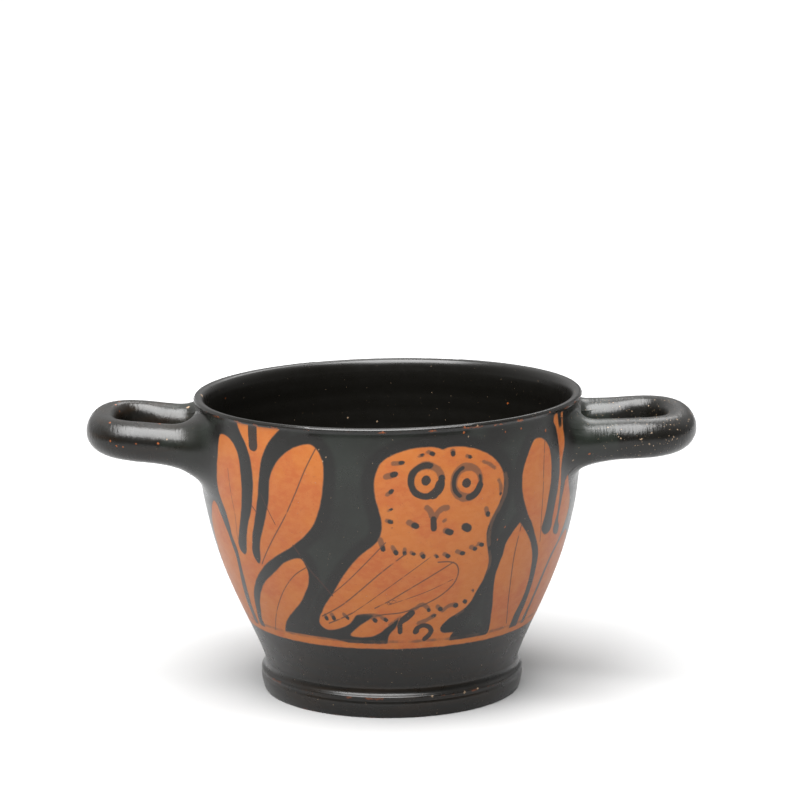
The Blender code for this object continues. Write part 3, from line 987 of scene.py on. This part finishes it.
def near_spots(spots, path, margin):
    """Which spots lie within a margin of a path's box."""
    low, high = path.min(axis=0) - margin, path.max(axis=0) + margin
    return np.nonzero(((spots > low) & (spots < high)).all(axis=1))[0]


def path_gap(spots, path):
    """Distance from spots to a path."""
    gap = np.full(len(spots), np.inf)
    for start, end in zip(path, path[1:]):
        step = end - start
        offset = spots - start
        share = np.clip(offset @ step / (step @ step), 0, 1)
        away = offset - share[:, None] * step
        gap = np.minimum(gap, np.hypot(away[:, 0], away[:, 1]))
    return gap


def inside(spots, path):
    """Whether spots lie inside a closed path."""
    count = np.zeros(len(spots), int)
    for start, end in zip(path, path[1:]):
        crossing = (start[1] > spots[:, 1]) != (end[1] > spots[:, 1])
        rise = end[1] - start[1]
        if rise:
            reach = start[0] + (spots[:, 1] - start[1]) * (end[0] - start[0]) / rise
            count += crossing & (spots[:, 0] < reach)
    return count % 2 == 1


def draw_area(field, spots, outline):
    """Lower a distance field by the distance to a filled area, negative inside."""
    path = spline(outline, closed=True, cuts=DRAWN_CUTS)
    path = np.vstack([path, path[:1]])
    ids = near_spots(spots, path, FAR)
    gap = path_gap(spots[ids], path)
    gap[inside(spots[ids], path)] *= -1
    field[ids] = np.minimum(field[ids], gap)


def draw_stroke(field, spots, points, width):
    """Lower a distance field by the distance to a brush stroke with round ends."""
    path = spline(points, cuts=DRAWN_CUTS)
    ids = near_spots(spots, path, FAR)
    gap = path_gap(spots[ids], path)
    field[ids] = np.minimum(field[ids], gap - width / 2)


def oval_gap(spots, middle, radii):
    """Distance from spots to an oval, about."""
    offset = (spots - np.array(middle)) / np.array(radii)
    return (np.hypot(offset[:, 0], offset[:, 1]) - 1) * min(radii)


def draw_line(sides, nearness, spots, points, width):
    """Record how far to the side of a hair-fine line spots lie, in half widths, and how near."""
    path = spaced(spline(points), LINE_GRAIN)
    travel = np.gradient(path, axis=0)
    travel /= np.linalg.norm(travel, axis=1, keepdims=True)
    ids = near_spots(spots, path, LINE_REACH)
    offset = spots[ids][:, None, :] - path[None, :, :]
    nearest = (offset ** 2).sum(axis=2).argmin(axis=1)
    offset = offset[np.arange(len(ids)), nearest]
    travel = travel[nearest]
    side = travel[:, 0] * offset[:, 1] - travel[:, 1] * offset[:, 0]
    near = 1 - np.hypot(offset[:, 0], offset[:, 1]) / LINE_REACH
    closer = near > nearness[ids]
    nearness[ids[closer]] = near[closer]
    sides[ids[closer]] = side[closer] * 2 / width


def draw_eye(black, brown, spots, eye):
    """An eye: a ring of thinned gloss, arcs of thick gloss on it, and a pupil."""
    ring = np.maximum(
        oval_gap(spots, eye.outer, eye.outer_radii), -oval_gap(spots, eye.inner, eye.inner_radii)
    )
    pupil_radii = (eye.pupil_radius, eye.pupil_radius * PUPIL_HEIGHT)
    brown[:] = np.minimum(brown, ring)
    black[:] = np.minimum(black, oval_gap(spots, eye.pupil, pupil_radii))
    middle = (np.array(eye.outer) + np.array(eye.inner)) / 2
    radii = (np.array(eye.outer_radii) + np.array(eye.inner_radii)) / 2
    for start, end, width in eye.arcs:
        angles = np.radians(np.arange(start, end + 1, ARC_STEP))
        arc = middle + radii * np.stack([np.cos(angles), np.sin(angles)], axis=1)
        draw_stroke(black, spots, arc, width)


def draw_dots(black, brown, spots, dots):
    """Dabs of the brush, each a dark dot with a brown tail."""
    for around, height, size, tail_around, tail_height in dots:
        lean = np.array([around - tail_around, height - tail_height])
        lean = lean / np.hypot(*lean) * size * DAB_HALF_LENGTH
        dot = [(around - lean[0], height - lean[1]), (around + lean[0], height + lean[1])]
        draw_stroke(black, spots, dot, size)
        tail = [(around, height), (tail_around, tail_height)]
        draw_stroke(brown, spots, tail, size * TAIL_WIDTH)


def paint_side(spots, plainer):
    """The picture's fields at spots on one side of the cup."""
    half_stripe = (GROUND_TOP - GROUND_BOTTOM) / 2
    clay = np.minimum(np.abs(spots[:, 1] - GROUND_BOTTOM - half_stripe) - half_stripe, FAR)
    black, brown = np.full_like(clay, FAR), np.full_like(clay, FAR)
    for outline in CLAY_AREAS:
        draw_area(clay, spots, outline)
    for points, width in OWL_STROKES + SPRIG_STROKES:
        draw_stroke(black, spots, points, width)
    for points, width in OWL_WASHES + GROUND_WASH:
        draw_stroke(brown, spots, points, width)
    for eye in OWL_EYES:
        draw_eye(black, brown, spots, eye)
    draw_dots(black, brown, spots, OWL_DOTS[::2] if plainer else OWL_DOTS)
    fields = {"clay": clay, "black": black, "brown": brown}
    lines = {
        "fine": LEAF_LINES + (FEATHER_LINES[::2] if plainer else FEATHER_LINES),
        "contour": CONTOUR_LINES,
        "crack": [] if plainer else CRACKS,
    }
    for name, strokes in lines.items():
        sides, nearness = np.full_like(clay, FAR), np.zeros_like(clay)
        for points, width in strokes:
            draw_line(sides, nearness, spots, points, width)
        fields[name] = sides
        fields[name + "_near"] = nearness
    return fields


# The back was drawn by the same hand, a little differently: how far it sways and lifts, and the
# lengths over which it does
BACK_SWAY = 0.9
BACK_SWAY_LENGTH = 11.0
BACK_LIFT = 0.5
BACK_LIFT_LENGTH = 13.0


# Wear. The arrises where the gloss is rubbed off: radius and height.
WORN_EDGES = [(MOUTH_RADIUS - 0.12, RIM_MIDDLE - 0.92), (34.92, 5.35), (33.95, 0.05)]

# Chips that show the clay, and paler ones: place and size. A chip's radius is a share of its size.
CHIP_RADIUS = 0.36
RED_CHIPS = [
    (-72.4, -17.2, 70.1, 0.6), (-70.5, -17.8, 68.9, 0.6), (-69.2, -17.9, 68.7, 0.5),
    (-65.5, -18.3, 69.7, 0.5), (-59.6, -18.5, 69.8, 0.9), (-59.6, -13.1, 73.9, 0.8),
    (-72.7, -12.8, 74.5, 0.8), (-73.2, 6.1, 75.1, 0.8), (-72.4, 9.6, 75.2, 0.6),
    (-71.2, 5.0, 73.8, 0.6), (-44.5, 18.6, 73.7, 0.5), (51.7, -20.7, 66.0, 0.8),
    (33.2, 34.2, 69.4, 0.7), (41.1, -30.0, 79.4, 0.6), (39.7, -31.3, 74.9, 0.9),
    (33.1, -38.2, 76.8, 0.5), (29.2, -41.3, 76.4, 0.5), (18.2, -47.1, 77.7, 0.8),
    (26.3, -43.1, 78.6, 0.4), (29.2, -39.7, 51.6, 0.5), (31.3, -37.6, 49.5, 0.4),
    (32.9, -36.7, 51.6, 0.5), (35.0, -34.1, 49.2, 0.5), (36.1, -31.9, 46.0, 0.4),
    (27.1, -40.6, 49.0, 0.4),
]
PALE_CHIPS = [
    (-58.1, -18.4, 70.7, 0.5), (-53.7, 10.1, 74.2, 1.4), (-49.3, 1.1, 78.8, 1.5),
    (71.4, 2.0, 71.4, 0.5), (67.8, -17.9, 71.2, 0.5), (59.5, -18.8, 69.9, 0.6),
    (67.2, -18.5, 68.6, 0.5), (73.7, -16.3, 69.8, 0.5), (75.2, -14.3, 71.7, 0.5),
    (79.4, -2.7, 73.1, 0.6), (48.0, -20.9, 64.5, 0.7), (-11.1, 46.1, 62.9, 0.6),
    (-3.9, 47.2, 62.7, 0.6), (10.3, -33.4, 5.6, 0.8), (19.2, -29.4, 5.5, 0.9),
    (22.3, -26.9, 5.6, 0.9), (19.7, -46.6, 76.3, 0.5), (22.0, -45.8, 79.0, 0.5),
    (-16.0, -48.3, 72.2, 0.5), (-16.7, -48.0, 70.6, 0.4), (-17.7, -47.7, 74.1, 0.4),
]


def edge_gap(points):
    """Distance to the nearest worn arris."""
    x, y, height = straightened(points)
    gap = np.full(len(points), FAR)
    for radius, level in WORN_EDGES:
        gap = np.minimum(gap, np.hypot(np.hypot(x, y) - radius, height - level))
    return gap


def chip_gap(points, chips):
    """Distance to the edge of the nearest chip; each is centred on a vertex."""
    gap = np.full(len(points), FAR)
    for x, y, z, size in chips:
        nearest = np.linalg.norm(points - (x, y, z), axis=1).argmin()
        away = np.linalg.norm(points - points[nearest], axis=1)
        gap = np.minimum(gap, away - size * CHIP_RADIUS)
    return gap


# The groove under the lip is painted with the wall: how far in and down it reaches
LIP_PAINT_INSET = 1.3
LIP_PAINT_DROP = 1.0


def paint(body, points, on_wall):
    """Give every vertex its distances to the painted edges, in wall millimetres."""
    x, y, _ = points.T
    height = straightened(points)[2]
    under_lip = (height > WALL_TOP - LIP_PAINT_DROP) & (height < PICTURE_END)
    on_wall = on_wall | (under_lip & (np.hypot(x, y) > MOUTH_RADIUS - LIP_PAINT_INSET))
    values = {
        "edge": edge_gap(points), "red_chip": chip_gap(points, RED_CHIPS),
        "pale_chip": chip_gap(points, PALE_CHIPS), "on_wall": on_wall.astype(float),
    }
    for back in (False, True):
        turn = -1 if back else 1
        ids = np.nonzero(on_wall & (y * turn <= 0))[0]
        around = np.arctan2(turn * x[ids], -turn * y[ids]) * AROUND_RADIUS
        spots = np.stack([around, height[ids]], axis=1)
        if back:
            spots[:, 0] += BACK_SWAY * np.sin(height[ids] / BACK_SWAY_LENGTH)
            spots[:, 1] += BACK_LIFT * np.sin(around / BACK_LIFT_LENGTH)
        for name, field in paint_side(spots, back).items():
            if name not in values:
                values[name] = np.full(len(points), 0.0 if name.endswith("_near") else FAR)
            values[name][ids] = field
    for name, field in values.items():
        attribute = body.data.attributes.new(name, 'FLOAT', 'POINT')
        attribute.data.foreach_set("value", field.astype(np.float32))


# Materials

# Sockets of the node that mixes colours
MIX_FACTOR = 0
MIX_FIRST = 6
MIX_SECOND = 7
MIX_RESULT = 2


class Graph:
    """Shader nodes of a material or a world, made and linked by short calls."""

    def __init__(self, owner):
        owner.use_nodes = True
        self.nodes = owner.node_tree.nodes
        self.links = owner.node_tree.links

    def node(self, kind, inputs=(), **settings):
        """A node with its settings and inputs, each input a socket or a plain value."""
        made = self.nodes.new(kind)
        for key, value in settings.items():
            setattr(made, key, value)
        for key, value in dict(inputs).items():
            self.feed(made.inputs[key], value)
        return made

    def feed(self, socket, value):
        """Link or set an input."""
        if isinstance(value, bpy.types.NodeSocket):
            self.links.new(value, socket)
        else:
            socket.default_value = value

    def math(self, operation, first, *others):
        """Numbers added, multiplied or compared, one after the other."""
        for other in others:
            first = self.node('ShaderNodeMath', {0: first, 1: other}, operation=operation).outputs[0]
        return first

    def absolute(self, value):
        """A number without its sign."""
        return self.node('ShaderNodeMath', {0: value}, operation='ABSOLUTE').outputs[0]

    def field(self, name):
        """One of the numbers that the vertices carry."""
        return self.node('ShaderNodeAttribute', attribute_name=name).outputs["Fac"]

    def ranged(self, value, source, target, **settings):
        """A number carried over from one range to another."""
        inputs = {"Value": value, "From Min": source[0], "From Max": source[1]}
        inputs.update({"To Min": target[0], "To Max": target[1]})
        return self.node('ShaderNodeMapRange', inputs, **settings).outputs[0]

    def step(self, value, low, high):
        """0 below low and 1 above high, or the other way round if low is the larger."""
        return self.ranged(value, (low, high), (0.0, 1.0), interpolation_type='SMOOTHSTEP')

    def mix(self, factor, first, second):
        """A colour between two colours."""
        inputs = {MIX_FACTOR: factor, MIX_FIRST: first, MIX_SECOND: second}
        return self.node('ShaderNodeMix', inputs, data_type='RGBA', clamp_factor=True).outputs[MIX_RESULT]

    def tint(self, factor, strength, first, second):
        """A colour that goes part of the way to a second colour."""
        return self.mix(self.math('MULTIPLY', factor, strength), first, second)

    def noise(self, vector, size, detail=3.0, roughness=0.55):
        """Noise whose blotches are about a size across, in millimetres."""
        inputs = {"Vector": vector, "Scale": 1 / size, "Detail": detail, "Roughness": roughness}
        return self.node('ShaderNodeTexNoise', inputs).outputs["Fac"]

    def blotches(self, vector, size, low, high, *detail):
        """Noise that rises from 0 to 1 between two of its levels."""
        return self.step(self.noise(vector, size, *detail), low, high)

    def wobble(self, vector, size):
        """Noise about 0, for edges that waver."""
        return self.math('SUBTRACT', self.noise(vector, size, 2.0), 0.5)

    def stretched(self, vector, *scales):
        """Coordinates that are squeezed, so that a pattern on them runs in streaks."""
        return self.node('ShaderNodeVectorMath', {0: vector, 1: scales}, operation='MULTIPLY').outputs[0]

    def wavering(self, name, wobble, strength):
        """A field whose edge wavers as a brush does."""
        return self.math('ADD', self.field(name), self.math('MULTIPLY', wobble, strength))

    def fine_line(self, name, breaks):
        """1 on a family of hair-fine lines, fainter in places."""
        middle = self.step(self.absolute(self.field(name)), *LINE_EDGE)
        near = self.step(self.field(name + "_near"), *LINE_FADE)
        return self.math('MULTIPLY', middle, near, breaks)


# Colours
CLAY = (0.345, 0.098, 0.013, 1.0)
CLAY_RED = (0.320, 0.077, 0.013, 1.0)
CLAY_PALE = (0.370, 0.121, 0.026, 1.0)
CLAY_SPECK = (0.17, 0.046, 0.014, 1.0)
CHIP_PALE = (0.36, 0.25, 0.16, 1.0)
GLOSS = (0.0042, 0.0038, 0.0030, 1.0)
# Lighter, greener gloss for patches between the figures: the glaze's own tint together with a painted
# sheen
GLOSS_GREEN_SHEEN = (0.0095, 0.0118, 0.0092, 1.0)
GLOSS_THIN = (0.060, 0.030, 0.016, 1.0)
GLOSS_BROWN = (0.0070, 0.0038, 0.0014, 1.0)
BRUSHED_BLACK = (0.0085, 0.0070, 0.0055, 1.0)
BROWN = (0.105, 0.042, 0.018, 1.0)
FINE_LINE = (0.060, 0.026, 0.014, 1.0)
CRACK_LINE = (0.030, 0.012, 0.008, 1.0)

# Roughness of clay and gloss, with the height and the lower end of its patches, and fine relief
CLAY_ROUGHNESS = 0.42
GLOSS_ROUGHNESS = 0.28
ROUGHNESS_PATCHES = 0.14
ROUGHNESS_PATCHES_LOW = -0.06
SHINE = 0.42
RELIEF_STRENGTH = 0.45
RELIEF_DEPTH = 0.04 * MM

# Where a look starts and is full: heights on the foot, and places along X on the handles
BROWN_FOOT = (GROUND_BOTTOM + 0.5, GROUND_BOTTOM - 2)
BROWN_HANDLE = (-49.0, -58.0)
PITTED_HANDLE = (44.0, 56.0)
BRUSHED_HANDLES = (50.0, 56.0)


def painted_clay():
    """Reserved clay, thinned gloss and black gloss, by the distances that the vertices carry."""
    material = bpy.data.materials.new("painted_clay")
    graph = Graph(material)
    place = graph.node('ShaderNodeTexCoord').outputs["Object"]
    spot = graph.stretched(place, 1 / MM, 1 / MM, 1 / MM)

    wobble = graph.wobble(spot, 2.6)
    clay_edge = graph.wavering("clay", wobble, 0.35)
    black_edge = graph.wavering("black", wobble, 0.45)
    brown_edge = graph.wavering("brown", wobble, 0.7)

    # The clay, with redder and paler places and dark grains
    redder = graph.blotches(spot, 12.0, 0.42, 0.62)
    paler = graph.blotches(graph.stretched(spot, 0.6, 0.6, 1.0), 1.4, 0.38, 0.66, 4.0, 0.65)
    grains = graph.blotches(spot, 0.5, 0.62, 0.74, 2.0)
    clay = graph.mix(redder, CLAY, CLAY_RED)
    clay = graph.tint(paler, 0.5, clay, CLAY_PALE)
    clay = graph.tint(grains, 0.5, clay, CLAY_SPECK)

    # The gloss: its own black in a band round each figure, and between the figures patches painted lighter
    # # and greener, partly the glaze's tint and partly a painted sheen; brown on the foot and the left
    # handle, and brown where a brush left it thin
    axes = graph.node('ShaderNodeSeparateXYZ', {0: spot}).outputs
    patches = graph.blotches(spot, 14.0, 0.30, 0.66, 2.0)
    between = graph.math('MULTIPLY', graph.step(graph.field("clay"), 2.2, 3.6), graph.field("on_wall"))
    on_foot = graph.step(axes["Z"], *BROWN_FOOT)
    browned = graph.math('MAXIMUM', on_foot, graph.step(axes["X"], *BROWN_HANDLE))
    streaks = graph.blotches(graph.stretched(spot, 0.12, 0.12, 1.0), 1.8, 0.40, 0.70)
    # Painted sheen: the gloss turns lighter and greener in patches away from the figures
    gloss = graph.tint(patches, between, GLOSS, GLOSS_GREEN_SHEEN)
    gloss = graph.tint(browned, streaks, gloss, GLOSS_BROWN)
    gloss = graph.tint(graph.step(brown_edge, 0.10, -0.35), 0.8, gloss, GLOSS_THIN)

    # The picture: brown strokes, black strokes, then hair-fine lines
    breaks = graph.blotches(spot, 2.4, 0.22, 0.46, 2.0)
    brushed = graph.step(black_edge, 0.14, -0.16)
    drawn = graph.math('MAXIMUM', graph.fine_line("fine", breaks), graph.fine_line("contour", breaks))
    colour = graph.tint(graph.step(brown_edge, 0.16, -0.24), 0.85, clay, BROWN)
    colour = graph.tint(brushed, 0.97, colour, BRUSHED_BLACK)
    colour = graph.tint(drawn, 0.85, colour, FINE_LINE)

    # Where the gloss ends over the clay it is thin and brown
    covered = graph.step(clay_edge, -0.10, 0.16)
    colour = graph.mix(graph.step(clay_edge, -0.32, 0.0), colour, BROWN)
    colour = graph.mix(covered, colour, gloss)
    colour = graph.tint(graph.fine_line("crack", breaks), 0.8, colour, CRACK_LINE)

    # Wear: rubbed arrises, less so on the foot, chips, and pits that are thick on the right handle
    fine_wobble = graph.wobble(spot, 0.7)
    rubbed_places = graph.blotches(graph.stretched(spot, 1.0, 1.0, 2.0), 4.0, 0.54, 0.66)
    rubbed = graph.step(graph.wavering("edge", fine_wobble, 1.2), 0.42, 0.12)
    rubbed = graph.math('MULTIPLY', rubbed, rubbed_places)
    rubbed = graph.math('SUBTRACT', rubbed, graph.math('MULTIPLY', rubbed, on_foot, 0.6))
    red_chips, pale_chips = (
        graph.step(graph.wavering(name, fine_wobble, 0.7), 0.14, -0.06)
        for name in ("red_chip", "pale_chip")
    )
    pitted = graph.math('MULTIPLY', graph.step(axes["X"], *PITTED_HANDLE), 0.075)
    pits = graph.step(graph.math('ADD', graph.noise(spot, 0.5, 1.0), pitted), 0.782, 0.812)
    colour = graph.tint(rubbed, 0.75, colour, CLAY_RED)
    colour = graph.tint(pits, 0.8, colour, CHIP_PALE)
    colour = graph.tint(red_chips, 0.65, colour, CLAY_RED)
    colour = graph.tint(pale_chips, 0.6, colour, CHIP_PALE)

    # Glossy where gloss lies or a black stroke does, unless it is worn off
    chipped = graph.math('MAXIMUM', pits, red_chips, pale_chips)
    glossy = graph.math('MAXIMUM', covered, brushed)
    worn_off = graph.math('MULTIPLY', glossy, graph.math('MAXIMUM', rubbed, chipped))
    dull = graph.math('SUBTRACT', 1.0, graph.math('SUBTRACT', glossy, worn_off))
    duller = graph.math('MULTIPLY', dull, CLAY_ROUGHNESS - GLOSS_ROUGHNESS)
    patchy = graph.math('MULTIPLY', graph.noise(spot, 3.0, 4.0), ROUGHNESS_PATCHES)
    rough = graph.math('ADD', duller, patchy, GLOSS_ROUGHNESS + ROUGHNESS_PATCHES_LOW)

    # Fine relief: streaks of the wheel, swells, brush streaks across the handles, and the chips' depth
    swells = graph.math('MULTIPLY', graph.noise(graph.stretched(spot, 0.4, 0.4, 1.0), 2.5, 1.0), 1.4)
    turning = graph.math('MULTIPLY', graph.noise(graph.stretched(spot, 0.08, 0.08, 1.0), 0.6, 1.0), 0.4)
    on_handle = graph.step(graph.absolute(axes["X"]), *BRUSHED_HANDLES)
    brushing = graph.noise(graph.stretched(spot, 1.0, 0.25, 0.25), 0.6)
    height = graph.math('ADD', turning, swells, graph.math('MULTIPLY', brushing, on_handle, 6.5))
    height = graph.math('SUBTRACT', height, chipped)
    relief = {"Height": height, "Strength": RELIEF_STRENGTH, "Distance": RELIEF_DEPTH}

    shader = graph.nodes["Principled BSDF"].inputs
    graph.feed(shader["Base Color"], colour)
    graph.feed(shader["Roughness"], rough)
    graph.feed(shader["Normal"], graph.node('ShaderNodeBump', relief).outputs[0])
    graph.feed(shader["Specular IOR Level"], SHINE)
    return material


# Camera at the photograph's viewing angle: place, lens and sensor in millimetres, and angles
CAMERA_BACK = 800.0
CAMERA_HEIGHT = 230.0
CAMERA_LENS = 138.7
CAMERA_PITCH = math.radians(10.82)
CAMERA_YAW = -0.0036
CAMERA_ROLL = -0.0080
SENSOR_WIDTH = 36.0
CLIP_END_METRES = 100.0


def add_camera():
    """The camera, with a long lens from a little above."""
    data = bpy.data.cameras.new("camera")
    data.lens = CAMERA_LENS
    data.sensor_width = SENSOR_WIDTH
    data.clip_end = CLIP_END_METRES
    camera = add_object("camera", data)
    turn = Matrix.Rotation(CAMERA_YAW, 4, 'Z')
    tilt = Matrix.Rotation(math.pi / 2 - CAMERA_PITCH, 4, 'X')
    roll = Matrix.Rotation(CAMERA_ROLL, 4, 'Z')
    place = Matrix.Translation((0.0, -CAMERA_BACK * MM, CAMERA_HEIGHT * MM))
    camera.matrix_world = place @ turn @ tilt @ roll
    bpy.context.scene.camera = camera


# The floor: its reach in metres and its look
FLOOR_REACH = 12.0
FLOOR_GREY = (0.36, 0.36, 0.36, 1.0)
FLOOR_ROUGHNESS = 0.8
FLOOR_SHINE = 0.1


def add_floor():
    """A plain pale floor that reaches far behind the cup."""
    mesh = bpy.data.meshes.new("floor")
    corners = [(-1, -1), (1, -1), (1, 1), (-1, 1)]
    mesh.from_pydata([(x * FLOOR_REACH, y * FLOOR_REACH, 0) for x, y in corners], [], [(0, 1, 2, 3)])
    floor = add_object("floor", mesh)
    material = bpy.data.materials.new("pale_floor")
    shader = Graph(material).nodes["Principled BSDF"].inputs
    shader["Base Color"].default_value = FLOOR_GREY
    shader["Roughness"].default_value = FLOOR_ROUGHNESS
    shader["Specular IOR Level"].default_value = FLOOR_SHINE
    mesh.materials.append(material)


# The room: how bright it is to the left, to the right and overhead, and the share of it that is left
# in front. Each change runs between two parts of a direction, from -1 to 1.
ROOM_LEFT = 0.70
ROOM_RIGHT = 0.28
ROOM_OVERHEAD = 0.90
ROOM_IN_FRONT = 0.05
ROOM_SIDEWAYS = (-1.0, 0.3)
ROOM_UPWARDS = (0.10, 0.70)
ROOM_BACKWARDS = (-0.7, 0.4)


def add_world():
    """A dim room, brighter overhead and to the left, and dark in front."""
    world = bpy.data.worlds.new("studio")
    bpy.context.scene.world = world
    graph = Graph(world)
    direction = graph.node('ShaderNodeTexCoord').outputs["Generated"]
    axes = graph.node('ShaderNodeSeparateXYZ', {0: direction}).outputs
    level = graph.ranged(axes["X"], ROOM_SIDEWAYS, (ROOM_LEFT, ROOM_RIGHT))
    level = graph.ranged(axes["Z"], ROOM_UPWARDS, (level, ROOM_OVERHEAD))
    share = graph.ranged(axes["Y"], ROOM_BACKWARDS, (ROOM_IN_FRONT, 1.0))
    background = graph.nodes["Background"].inputs
    graph.feed(background["Color"], (1.0, 1.0, 1.0, 1.0))
    graph.feed(background["Strength"], graph.math('MULTIPLY', level, share))


# Lights: name, place, the point that each faces, width and height in metres, and watts
SOFTBOXES = [
    ("front", (-0.16, -0.42, 1.34), (0.0, 0.0, 0.0), (1.34, 1.50), 91.0),
    ("right", (0.30, 0.86, 1.10), (0.0, 0.0, 0.0), (0.50, 0.85), 5.5),
    ("background", (0.0, 1.3, 1.8), (0.0, 4.0, 0.0), (3.0, 1.0), 260.0),
]


def add_softbox(name, place, target, size, watts):
    """A rectangular light that faces a point."""
    data = bpy.data.lights.new(name, 'AREA')
    data.shape = 'RECTANGLE'
    data.size, data.size_y = size
    data.energy = watts
    light = add_object(name, data)
    light.location = place
    light.rotation_mode = 'QUATERNION'
    light.rotation_quaternion = (Vector(target) - light.location).to_track_quat('-Z', 'Y')


add_camera()
add_floor()
add_world()
for softbox in SOFTBOXES:
    add_softbox(*softbox)
cup, cup_points, on_wall = skin_object(build_skin(), "skyphos_vessel")
paint(cup, cup_points, on_wall)
cup.data.materials.append(painted_clay())
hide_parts("skyphos")
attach(cup, "root")

bpy.context.scene.view_settings.view_transform = 'Standard'
